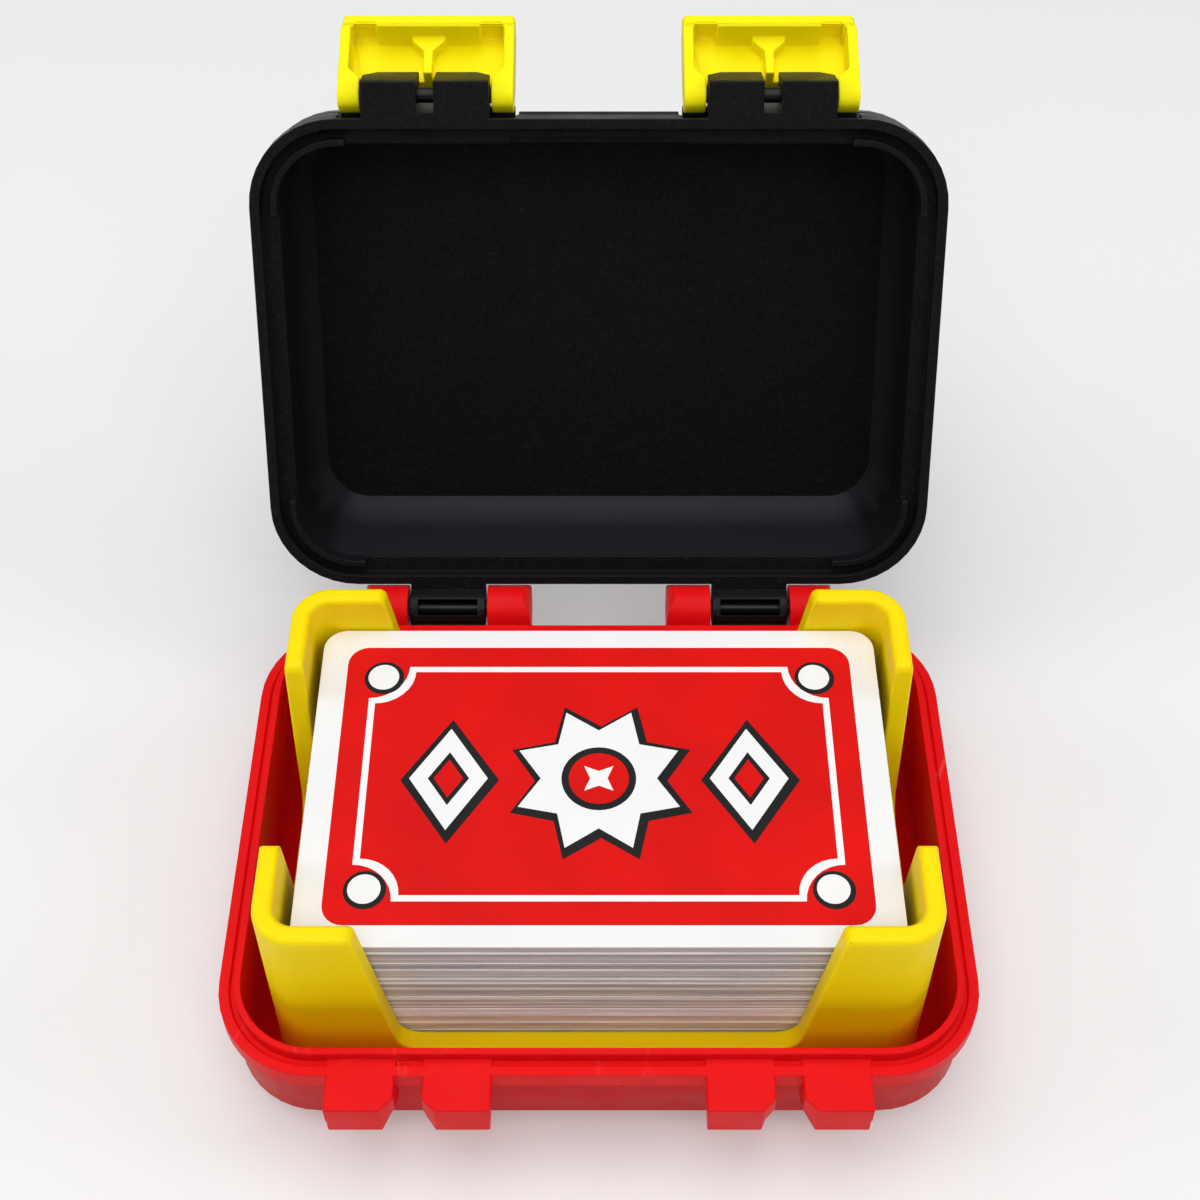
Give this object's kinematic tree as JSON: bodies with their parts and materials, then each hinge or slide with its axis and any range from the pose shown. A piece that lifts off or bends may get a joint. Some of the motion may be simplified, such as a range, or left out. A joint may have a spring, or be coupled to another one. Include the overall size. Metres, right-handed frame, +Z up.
{
  "type": "card game carrying case",
  "caption": "Hinged plastic carrying case with front latches, holding a deck of playing cards in a lift-out tray with corner posts.",
  "frame": {"origin": "middle of the flat underside of the base, on the surface that the case stands on", "axes": "+X to the right, +Y to the rear, towards the hinge, +Z up; the latches are at the front, towards -Y"},
  "size_m": [0.1108, 0.1446, 0.1035],
  "materials": {
    "red_plastic": "satin",
    "black_plastic": "fine texture",
    "yellow_plastic": "satin",
    "dark_pins": "black",
    "card_stock": "cut edges",
    "card_face": "coated"
  },
  "bodies": {
    "base": {"base_shell": "red_plastic", "hinge_pin_left": "dark_pins", "hinge_pin_right": "dark_pins"},
    "lid": {"lid_shell": "black_plastic", "latch_pin_left": "dark_pins", "latch_pin_right": "dark_pins"},
    "latch_left": {"latch_left": "yellow_plastic"},
    "latch_right": {"latch_right": "yellow_plastic"},
    "tray": {"card_tray": "yellow_plastic"},
    "deck": {"card_packet_01": "card_stock", "card_packet_02": "card_stock", "card_packet_03": "card_stock", "card_packet_04": "card_stock", "card_packet_05": "card_stock", "card_packet_06": "card_stock", "card_packet_07": "card_stock", "card_packet_08": "card_stock", "card_packet_09": "card_stock", "card_packet_10": "card_stock", "card_packet_11": "card_stock", "card_packet_12": "card_stock", "top_card": "card_face"}
  },
  "joints": [
    {"name": "lid_hinge", "type": "hinge", "parent": "base", "child": "lid", "pos_m": [0, 0.04405, 0.02012], "axis": [1, 0, 0], "range_deg": [0, 114.5]},
    {"name": "latch_left_pivot", "type": "hinge", "parent": "lid", "child": "latch_left", "pos_m": [-0.0268, 0.08361, 0.09753], "axis": [1, 0, 0], "range_deg": [0, 135.5]},
    {"name": "latch_right_pivot", "type": "hinge", "parent": "lid", "child": "latch_right", "pos_m": [0.0268, 0.08361, 0.09753], "axis": [1, 0, 0], "range_deg": [0, 135.5]},
    {"name": "tray_lift", "type": "slide", "parent": "base", "child": "tray", "axis": [0, 0, -1], "range_m": [-0.024, 0]},
    {"name": "deck_lift", "type": "slide", "parent": "tray", "child": "deck", "axis": [0, 0, -1], "range_m": [-0.042, 0]}
  ]
}
